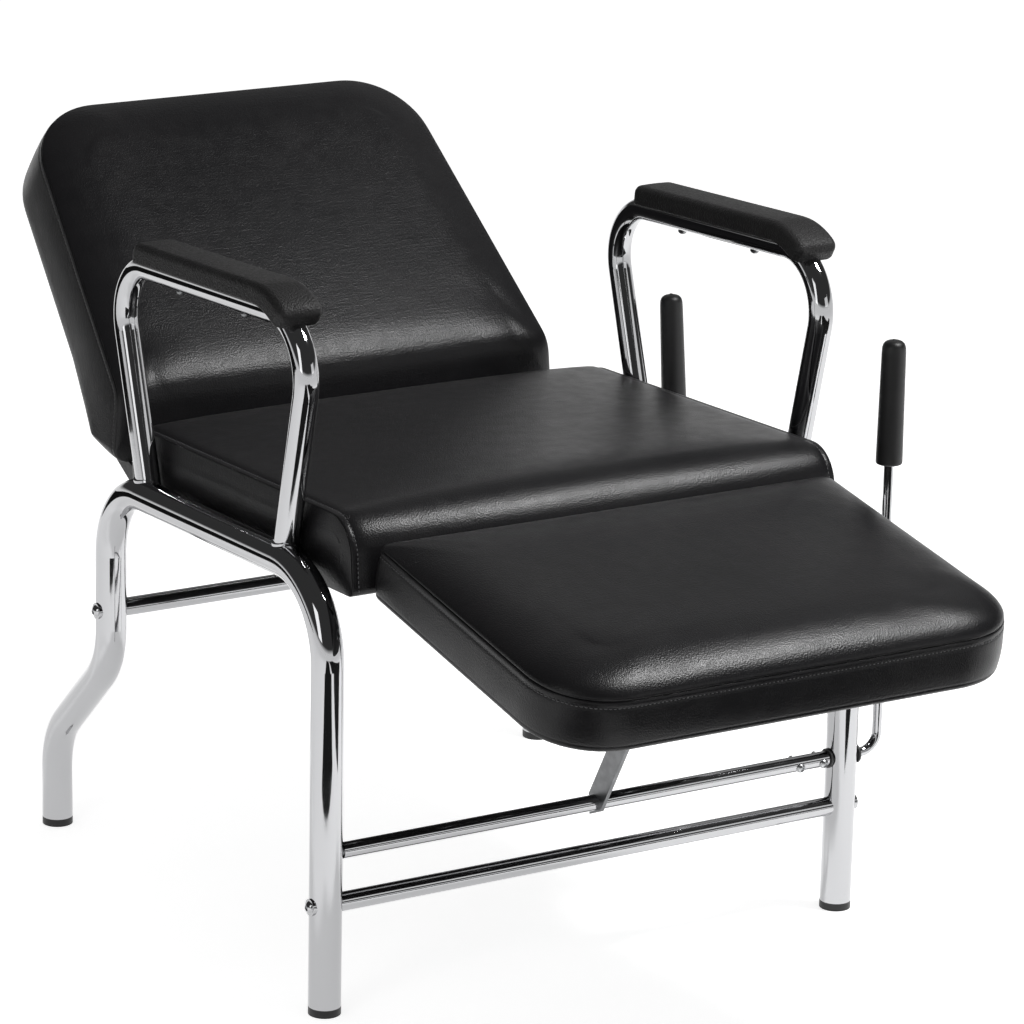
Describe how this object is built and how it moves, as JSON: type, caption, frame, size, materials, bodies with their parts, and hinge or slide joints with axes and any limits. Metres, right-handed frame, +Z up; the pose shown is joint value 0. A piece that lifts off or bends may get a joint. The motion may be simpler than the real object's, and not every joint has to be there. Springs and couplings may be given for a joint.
{
  "type": "shampoo chair",
  "caption": "Salon shampoo chair on a chrome tube frame, with padded arms, a backrest that reclines and a leg rest that a side lever raises.",
  "frame": {"origin": "on the floor, midway between the four feet", "axes": "+Z up, -Y towards the front of the chair, +X towards the sitter's left, where the levers are"},
  "size_m": [0.6715, 1.2085, 0.7181],
  "materials": {
    "chrome_tube": "polished chrome plate",
    "black_vinyl": "fine-grained black vinyl with a soft sheen",
    "arm_pad_skin": "pebbled integral-skin polyurethane",
    "black_plastic": "satin moulded",
    "nylon": "satin",
    "black_steel": "satin powder coat",
    "zinc_steel": "zinc plated",
    "plywood": "raw",
    "foam": "cut polyurethane foam"
  },
  "bodies": {
    "frame": {"arm_pad_screws": "zinc_steel", "cross_tube_bolts": "chrome_tube", "cross_tube_inserts": "zinc_steel", "cross_tube_washers": "chrome_tube", "foot_caps": "black_plastic", "front_cross_tube": "chrome_tube", "front_seat_brackets": "black_steel", "left_arm_pad": "arm_pad_skin", "left_arm_tube": "chrome_tube", "left_legrest_hinge_bracket": "black_steel", "left_recline_hinge_bracket": "black_steel", "left_side_frame": "chrome_tube", "legrest_hinge_pins": "zinc_steel", "legrest_lever_bushes": "nylon", "legrest_tube_stub": "zinc_steel", "rear_cross_tube": "chrome_tube", "rear_seat_brackets": "black_steel", "recline_bearing_left": "black_steel", "recline_bearing_right": "black_steel", "recline_pivot_bolts": "zinc_steel", "recline_pivot_nuts": "zinc_steel", "right_arm_pad": "arm_pad_skin", "right_arm_tube": "chrome_tube", "right_legrest_hinge_bracket": "black_steel", "right_recline_hinge_bracket": "black_steel", "right_side_frame": "chrome_tube", "seat_board": "plywood", "seat_board_screws": "zinc_steel", "seat_cover": "black_vinyl", "seat_foam": "foam"},
    "backrest": {"backrest_board": "plywood", "backrest_cover": "black_vinyl", "backrest_foam": "foam", "backrest_link_arm": "black_steel", "backrest_link_pin": "zinc_steel", "backrest_rear_panel": "black_vinyl", "backrest_screws": "zinc_steel", "left_backrest_hinge_arm": "black_steel", "right_backrest_hinge_arm": "black_steel"},
    "recline_lever": {"recline_torque_tube": "chrome_tube", "recline_lever_rod": "chrome_tube", "recline_lever_grip": "black_plastic", "recline_lever_screws": "zinc_steel", "recline_crank": "black_steel", "recline_crank_pin": "zinc_steel"},
    "recline_link": {"recline_link": "black_steel"},
    "legrest": {"legrest_board": "plywood", "legrest_foam": "foam", "legrest_cover": "black_vinyl", "legrest_screws": "zinc_steel", "left_legrest_hinge_arm": "black_steel", "right_legrest_hinge_arm": "black_steel", "legrest_cam_guide": "black_steel"},
    "legrest_lever": {"legrest_torque_tube": "chrome_tube", "legrest_lever_rod": "chrome_tube", "legrest_lever_grip": "black_plastic", "legrest_lever_screws": "zinc_steel", "legrest_crank": "zinc_steel", "legrest_cam_pin": "zinc_steel"}
  },
  "joints": [
    {"name": "backrest_recline", "type": "hinge", "parent": "frame", "child": "backrest", "pos_m": [0, 0.18981, 0.38418], "axis": [1, 0, 0], "range_deg": [0, 40]},
    {"name": "recline_lever_turn", "type": "hinge", "parent": "frame", "child": "recline_lever", "pos_m": [0, 0.09336, 0.36541], "axis": [1, 0, 0], "range_deg": [0, 40]},
    {"name": "recline_link_turn", "type": "hinge", "parent": "backrest", "child": "recline_link", "pos_m": [0, 0.16518, 0.31653], "axis": [1, 0, 0], "range_deg": [-40, 0]},
    {"name": "legrest_swing", "type": "hinge", "parent": "frame", "child": "legrest", "pos_m": [0, -0.30564, 0.39075], "axis": [1, 0, 0], "range_deg": [0, 70]},
    {"name": "legrest_lever_turn", "type": "hinge", "parent": "frame", "child": "legrest_lever", "pos_m": [0, -0.294, 0.163], "axis": [1, 0, 0], "range_deg": [-21, 0]}
  ],
  "couplings": [
    {"joint": "recline_lever_turn", "follows": "backrest_recline", "ratio": 1},
    {"joint": "recline_link_turn", "follows": "backrest_recline", "ratio": -1},
    {"joint": "legrest_lever_turn", "follows": "legrest_swing", "ratio": -0.3}
  ]
}
